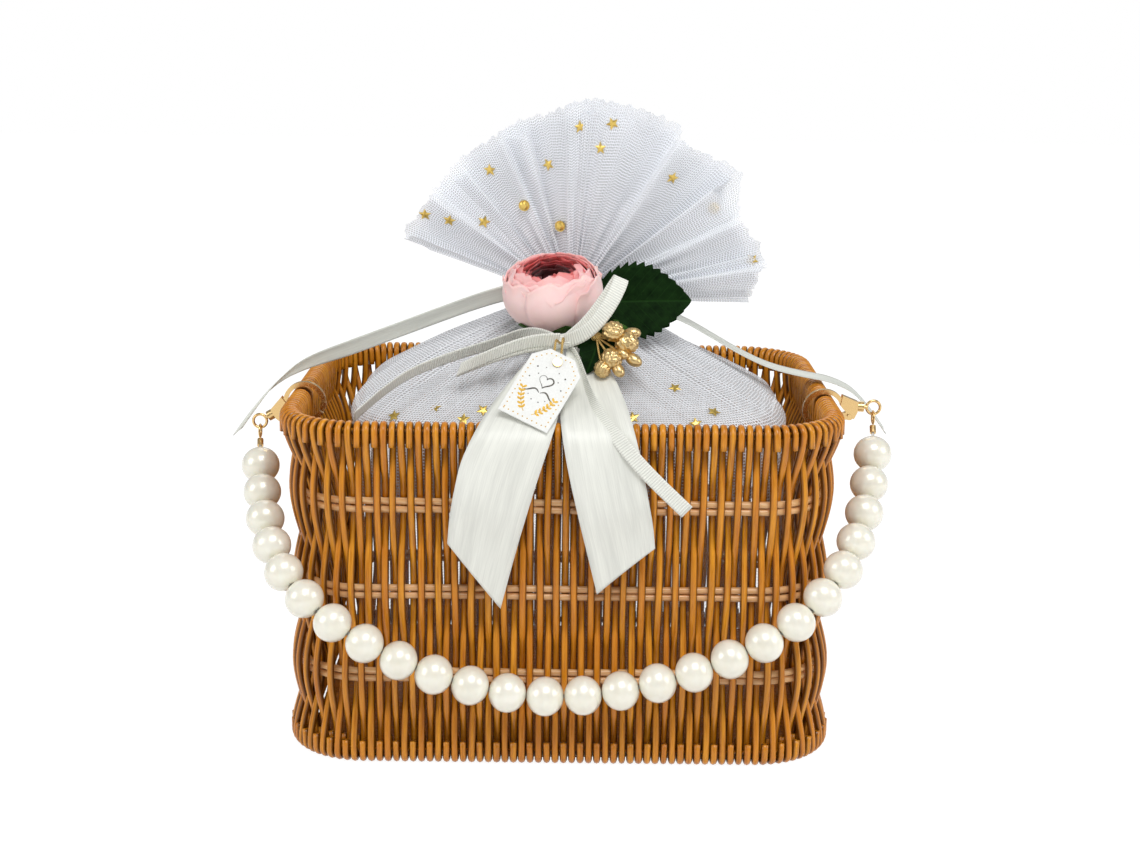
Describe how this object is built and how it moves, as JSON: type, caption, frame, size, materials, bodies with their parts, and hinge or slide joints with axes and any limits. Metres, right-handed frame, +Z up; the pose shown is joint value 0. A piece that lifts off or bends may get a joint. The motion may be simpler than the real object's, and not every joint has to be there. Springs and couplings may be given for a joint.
{
  "type": "flower girl basket",
  "caption": "Woven cane flower girl basket with a pearl strand handle, a tulle drawstring pouch, silk flower and ribbon trims.",
  "frame": {"origin": "middle of the underside, on the surface that the basket stands on", "axes": "+Z up, +X to the basket's right as seen from the front, +Y to its back"},
  "size_m": [0.2624, 0.1759, 0.238],
  "materials": {
    "cane": "satin",
    "weaver": "satin",
    "mat": "satin",
    "gold": "polished",
    "pearl": "gloss",
    "clear_cord": "gloss",
    "net": "matte",
    "satin": "satin",
    "ribbon": "matte",
    "sequin": "gloss",
    "crystal": "gloss",
    "pink_silk": "matte",
    "green_silk": "matte",
    "stem_wrap": "matte",
    "berry": "gloss",
    "card": "matte"
  },
  "bodies": {
    "basket": {"rim_core_wire": "weaver", "base_core_wire": "weaver", "upper_weavers": "weaver", "middle_weavers": "weaver", "lower_weavers": "weaver", "long_canes": "cane", "short_loop_canes": "cane", "base_mat": "mat", "left_clasp_body": "gold", "left_lever_pin": "gold", "left_swivel_eye": "gold", "right_clasp_body": "gold", "right_lever_pin": "gold", "right_swivel_eye": "gold"},
    "left_lever": {"left_clasp_lever": "gold"},
    "right_lever": {"right_clasp_lever": "gold"},
    "handle": {"handle_string": "clear_cord", "pearls": "pearl", "string_crimps": "gold", "left_end_ring": "gold", "right_end_ring": "gold"},
    "pouch": {"pouch_front_panel": "net", "pouch_back_panel": "net", "drawstring": "ribbon", "ruffle_front_layer": "net", "ruffle_back_layer": "net", "star_sequins": "sequin", "rhinestones": "crystal", "pull_ribbon_left": "ribbon", "pull_ribbon_right": "ribbon", "satin_tail_left": "satin", "satin_tail_right": "satin", "bow_knot": "ribbon", "bow_loop_left": "ribbon", "bow_loop_right": "ribbon", "bow_tail_left": "ribbon", "bow_tail_right": "ribbon", "stem_bundle": "stem_wrap", "flower_outer_petals": "pink_silk", "flower_middle_petals": "pink_silk", "flower_inner_petals": "pink_silk", "flower_centre": "pink_silk", "flower_calyx": "green_silk", "flower_stem": "stem_wrap", "large_leaf": "green_silk", "lower_leaf": "green_silk", "small_leaf": "green_silk", "gold_berries": "berry", "berry_wires": "stem_wrap", "berry_tie": "stem_wrap", "tag_brad": "gold", "tag_cord": "ribbon"},
    "tag": {"hang_tag": "card"}
  },
  "joints": [
    {"name": "handle_swing", "type": "hinge", "parent": "basket", "child": "handle", "pos_m": [-0.1174, -0.02045, 0.11485], "axis": [0.9993, -0.0112, 0.0358], "range_deg": [-138, 0]},
    {"name": "pouch_lift", "type": "slide", "parent": "basket", "child": "pouch", "axis": [0, 0, 1], "range_m": [0, 0.15]},
    {"name": "left_lever_press", "type": "hinge", "parent": "basket", "child": "left_lever", "pos_m": [-0.10768, -0.02045, 0.11891], "axis": [0, 1, 0], "range_deg": [0, 18], "stiffness_Nm_per_rad": 0.02},
    {"name": "right_lever_press", "type": "hinge", "parent": "basket", "child": "right_lever", "pos_m": [0.1106, -0.02311, 0.12284], "axis": [0, -1, 0], "range_deg": [0, 18], "stiffness_Nm_per_rad": 0.02},
    {"name": "tag_swing", "type": "hinge", "parent": "pouch", "child": "tag", "pos_m": [-0.0018, -0.06509, 0.15019], "axis": [0, -0.788, 0.6157], "range_deg": [-12, 12]}
  ]
}
